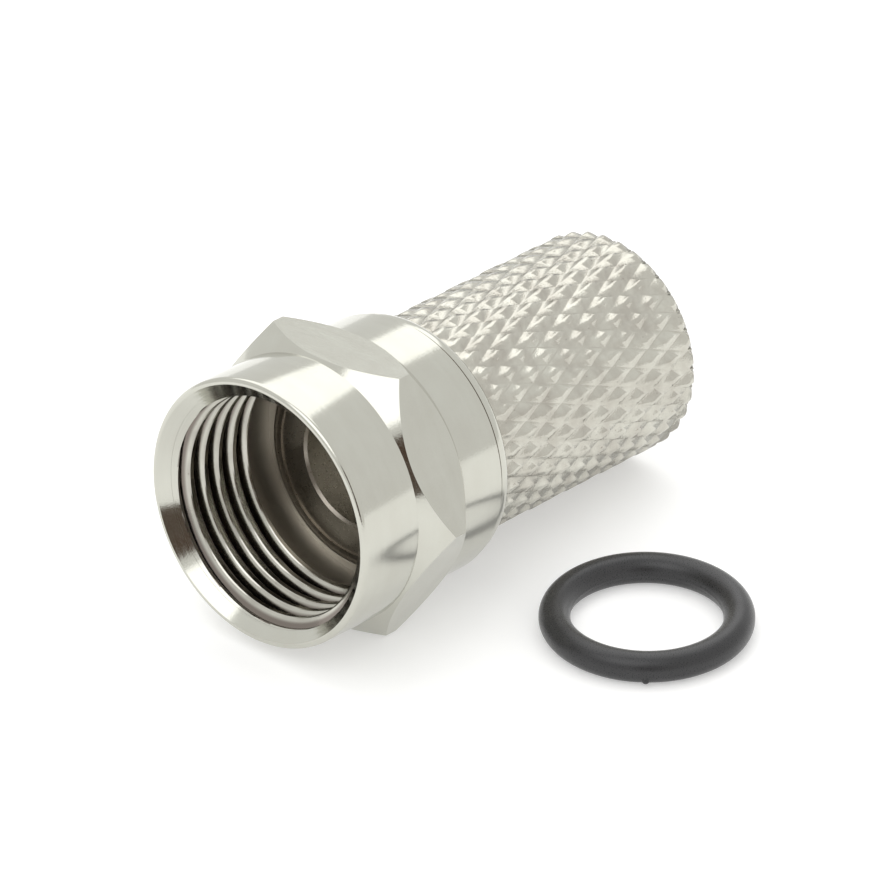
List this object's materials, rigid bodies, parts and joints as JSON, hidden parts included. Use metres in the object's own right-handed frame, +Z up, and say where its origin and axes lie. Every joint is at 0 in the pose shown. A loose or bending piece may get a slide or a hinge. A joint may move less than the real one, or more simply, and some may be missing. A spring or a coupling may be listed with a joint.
{
  "type": "coaxial f connector",
  "caption": "Screw-on coaxial plug: a hexagonal coupling nut turns on a diamond-knurled cable sleeve, with a loose rubber O-ring beside it.",
  "frame": {"origin": "centre of the nut's threaded bore where the thread starts, behind the mouth chamfer, with the part as it lies", "axes": "+Z up from the surface the part lies on; the connector's axis lies in the YZ plane, its front facing -Y and tipped about 4 degrees up; +X towards the O-ring"},
  "size_m": [0.0207, 0.0209, 0.0112],
  "materials": {
    "nut_plating": "bright nickel plating over turned brass, fine turning marks",
    "sleeve_plating": "nickel plating over knurled brass, slightly dulled in the grooves",
    "rubber": "matt black moulded rubber"
  },
  "bodies": {
    "sleeve": {"cable_sleeve": "sleeve_plating", "o_ring": "rubber"},
    "nut": {"coupling_nut": "nut_plating"}
  },
  "joints": [
    {"name": "nut_spin", "type": "hinge", "parent": "sleeve", "child": "nut", "pos_m": [0, 0, 0], "axis": [0, 0.9975, -0.0704], "continuous": true}
  ]
}
